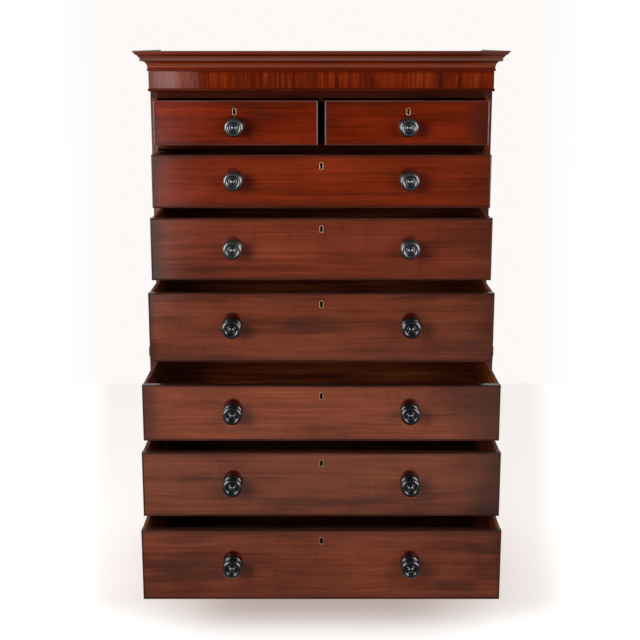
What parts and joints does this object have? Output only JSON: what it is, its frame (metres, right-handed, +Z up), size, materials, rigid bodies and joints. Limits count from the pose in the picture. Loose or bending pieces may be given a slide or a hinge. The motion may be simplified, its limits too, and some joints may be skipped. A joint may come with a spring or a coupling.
{
  "type": "chest on chest",
  "caption": "Tall mahogany chest on chest with cockbeaded drawers, black turned knobs, a moulded cornice and bracket feet, its drawers standing open.",
  "frame": {"origin": "on the floor, under the middle of the box round the open chest as pictured", "axes": "+Z up, +Y towards the back of the chest, +X to the right as seen from the front; the drawers open along -Y"},
  "size_m": [1.14, 1.0536, 1.7498],
  "materials": {
    "mahogany": "old french polish over carcase mahogany",
    "drawer_front_mahogany": "glossy old polish over figured mahogany, horizontal grain",
    "cross_grain_mahogany": "glossy old polish over upright cross-grain veneer",
    "drawer_lining_wood": "dry unpolished brown secondary wood",
    "backing_wood": "dry rough-sawn backboard",
    "ebonised_wood": "glossy black stained turning",
    "worn_brass": "dull worn brass"
  },
  "bodies": {
    "carcase": {"upper_left_side": "mahogany", "upper_right_side": "mahogany", "upper_top_board": "mahogany", "upper_bottom_board": "mahogany", "upper_back_panel": "backing_wood", "upper_dustboard_1": "mahogany", "upper_dustboard_2": "mahogany", "upper_dustboard_3": "mahogany", "short_drawer_partition": "mahogany", "frieze": "cross_grain_mahogany", "cornice": "mahogany", "lower_left_side": "mahogany", "lower_right_side": "mahogany", "lower_top_board": "mahogany", "lower_bottom_board": "mahogany", "lower_back_panel": "backing_wood", "lower_dustboard_1": "mahogany", "lower_dustboard_2": "mahogany", "front_left_foot": "mahogany", "front_right_foot": "mahogany", "back_left_foot": "mahogany", "back_right_foot": "mahogany"},
    "short_left_drawer": {"short_left_front": "drawer_front_mahogany", "short_left_box": "drawer_lining_wood", "short_left_lock": "worn_brass", "short_left_knob": "ebonised_wood"},
    "short_right_drawer": {"short_right_front": "drawer_front_mahogany", "short_right_box": "drawer_lining_wood", "short_right_lock": "worn_brass", "short_right_knob": "ebonised_wood"},
    "upper_long_1_drawer": {"upper_long_1_front": "drawer_front_mahogany", "upper_long_1_box": "drawer_lining_wood", "upper_long_1_lock": "worn_brass", "upper_long_1_left_knob": "ebonised_wood", "upper_long_1_right_knob": "ebonised_wood"},
    "upper_long_2_drawer": {"upper_long_2_front": "drawer_front_mahogany", "upper_long_2_box": "drawer_lining_wood", "upper_long_2_lock": "worn_brass", "upper_long_2_left_knob": "ebonised_wood", "upper_long_2_right_knob": "ebonised_wood"},
    "upper_long_3_drawer": {"upper_long_3_front": "drawer_front_mahogany", "upper_long_3_box": "drawer_lining_wood", "upper_long_3_lock": "worn_brass", "upper_long_3_left_knob": "ebonised_wood", "upper_long_3_right_knob": "ebonised_wood"},
    "lower_long_1_drawer": {"lower_long_1_front": "drawer_front_mahogany", "lower_long_1_box": "drawer_lining_wood", "lower_long_1_lock": "worn_brass", "lower_long_1_left_knob": "ebonised_wood", "lower_long_1_right_knob": "ebonised_wood"},
    "lower_long_2_drawer": {"lower_long_2_front": "drawer_front_mahogany", "lower_long_2_box": "drawer_lining_wood", "lower_long_2_lock": "worn_brass", "lower_long_2_left_knob": "ebonised_wood", "lower_long_2_right_knob": "ebonised_wood"},
    "lower_long_3_drawer": {"lower_long_3_front": "drawer_front_mahogany", "lower_long_3_box": "drawer_lining_wood", "lower_long_3_lock": "worn_brass", "lower_long_3_left_knob": "ebonised_wood", "lower_long_3_right_knob": "ebonised_wood"}
  },
  "joints": [
    {"name": "short_left_slide", "type": "slide", "parent": "carcase", "child": "short_left_drawer", "axis": [0, -1, 0], "range_m": [-0.106, 0.3437]},
    {"name": "short_right_slide", "type": "slide", "parent": "carcase", "child": "short_right_drawer", "axis": [0, -1, 0], "range_m": [-0.106, 0.3437]},
    {"name": "upper_long_1_slide", "type": "slide", "parent": "carcase", "child": "upper_long_1_drawer", "axis": [0, -1, 0], "range_m": [-0.181, 0.2687]},
    {"name": "upper_long_2_slide", "type": "slide", "parent": "carcase", "child": "upper_long_2_drawer", "axis": [0, -1, 0], "range_m": [-0.245, 0.2047]},
    {"name": "upper_long_3_slide", "type": "slide", "parent": "carcase", "child": "upper_long_3_drawer", "axis": [0, -1, 0], "range_m": [-0.332, 0.1177]},
    {"name": "lower_long_1_slide", "type": "slide", "parent": "carcase", "child": "lower_long_1_drawer", "axis": [0, -1, 0], "range_m": [-0.332, 0.1412]},
    {"name": "lower_long_2_slide", "type": "slide", "parent": "carcase", "child": "lower_long_2_drawer", "axis": [0, -1, 0], "range_m": [-0.379, 0.0942]},
    {"name": "lower_long_3_slide", "type": "slide", "parent": "carcase", "child": "lower_long_3_drawer", "axis": [0, -1, 0], "range_m": [-0.437, 0.0362]}
  ]
}
